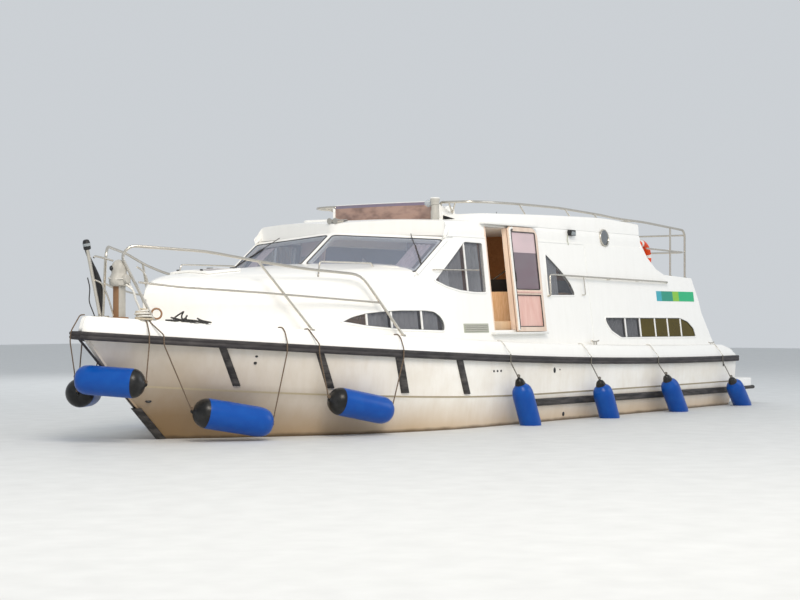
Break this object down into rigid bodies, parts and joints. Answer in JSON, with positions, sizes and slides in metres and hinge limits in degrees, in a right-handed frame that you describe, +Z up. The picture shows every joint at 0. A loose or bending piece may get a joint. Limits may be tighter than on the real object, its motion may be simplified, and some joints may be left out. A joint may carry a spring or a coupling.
{
  "type": "canal cruiser houseboat with a flybridge",
  "caption": "Broad canal cruiser: long cabin with a raked windscreen, sliding side doors, flybridge, rails, fenders, propeller and rudder.",
  "frame": {"origin": "on the centreline, amidships, at the waterline", "axes": "+X to the bow, +Y to port, +Z up"},
  "size_m": [14.782, 4.7832, 4.005],
  "materials": {
    "gelcoat": "glossy",
    "hull_gelcoat": "satin, scuffed",
    "rubber": "matt",
    "tinted_glass": "glossy",
    "smoked_acrylic": "glossy",
    "door_frame": "satin",
    "stainless": "polished",
    "bronze": "satin",
    "steel": "matt",
    "timber": "satin",
    "fender_vinyl": "satin",
    "upholstery": "woven",
    "buoy": "satin"
  },
  "bodies": {
    "hull": {"deck_moulding": "gelcoat", "swim_platform": "gelcoat", "fore_trunk": "gelcoat", "wheelhouse": "gelcoat", "roof_moulding": "gelcoat", "aft_cabin": "gelcoat", "aft_deck": "gelcoat", "fly_console": "gelcoat", "hull_shell": "hull_gelcoat", "rub_rail": "rubber", "lower_rail_port": "rubber", "lower_rail_starboard": "rubber", "windscreen_port": "tinted_glass", "windscreen_starboard": "tinted_glass", "fore_window_port": "tinted_glass", "fore_window_starboard": "tinted_glass", "side_window_port": "tinted_glass", "side_window_starboard": "tinted_glass", "quarter_window_port": "tinted_glass", "quarter_window_starboard": "tinted_glass", "aft_window_port": "tinted_glass", "aft_window_starboard": "tinted_glass", "fly_screen": "smoked_acrylic", "upper_rail_port": "stainless", "upper_rail_starboard": "stainless", "bow_rail_port": "stainless", "bow_rail_starboard": "stainless", "side_handrail_port": "stainless", "side_handrail_starboard": "stainless", "bow_mast": "stainless", "engine_block": "steel", "saloon_sole": "timber", "helm_console": "timber", "galley_unit": "timber", "bow_winch": "timber", "saloon_bench": "upholstery", "fly_seat": "upholstery", "fender_stem": "fender_vinyl", "fender_bow_port": "fender_vinyl", "fender_bow_starboard": "fender_vinyl", "fender_side_port": "fender_vinyl", "fender_side_starboard": "fender_vinyl", "fender_hung_1_port": "fender_vinyl", "fender_hung_1_starboard": "fender_vinyl", "fender_hung_2_port": "fender_vinyl", "fender_hung_2_starboard": "fender_vinyl", "fender_hung_3_port": "fender_vinyl", "fender_hung_3_starboard": "fender_vinyl", "fender_hung_4_port": "fender_vinyl", "fender_hung_4_starboard": "fender_vinyl", "lifebuoy": "buoy"},
    "propeller": {"propeller": "bronze"},
    "rudder": {"rudder": "steel"},
    "helm": {"helm_wheel": "rubber"},
    "fly_helm": {"fly_wheel": "rubber"},
    "port_door": {"door_port": "door_frame", "door_glass_port": "tinted_glass"},
    "starboard_door": {"door_starboard": "door_frame", "door_glass_starboard": "tinted_glass"},
    "hatch": {"foredeck_hatch": "gelcoat"}
  },
  "joints": [
    {"name": "propeller_spin", "type": "hinge", "parent": "hull", "child": "propeller", "pos_m": [-5.7, 0, -0.528], "axis": [1, 0, 0], "continuous": true},
    {"name": "rudder_turn", "type": "hinge", "parent": "hull", "child": "rudder", "pos_m": [-6.12, 0, -0.4], "axis": [0, 0, 1], "range_deg": [-35, 35]},
    {"name": "helm_turn", "type": "hinge", "parent": "hull", "child": "helm", "pos_m": [2.01, -0.86, 1.8], "axis": [0.9131, 0, -0.4078], "range_deg": [-640, 640]},
    {"name": "fly_helm_turn", "type": "hinge", "parent": "hull", "child": "fly_helm", "pos_m": [0.405, 0.25, 3.075], "axis": [0.9553, 0, -0.2955], "range_deg": [-640, 640]},
    {"name": "port_door_slide", "type": "slide", "parent": "hull", "child": "port_door", "axis": [1, 0, 0], "range_m": [0, 0.58]},
    {"name": "starboard_door_slide", "type": "slide", "parent": "hull", "child": "starboard_door", "axis": [1, 0, 0], "range_m": [-0.58, 0]},
    {"name": "hatch_lift", "type": "hinge", "parent": "hull", "child": "hatch", "pos_m": [4.705, 0, 2.155], "axis": [0, -1, 0], "range_deg": [0, 80]}
  ],
  "couplings": [
    {"joint": "helm_turn", "follows": "rudder_turn", "ratio": 18},
    {"joint": "fly_helm_turn", "follows": "rudder_turn", "ratio": 18}
  ]
}
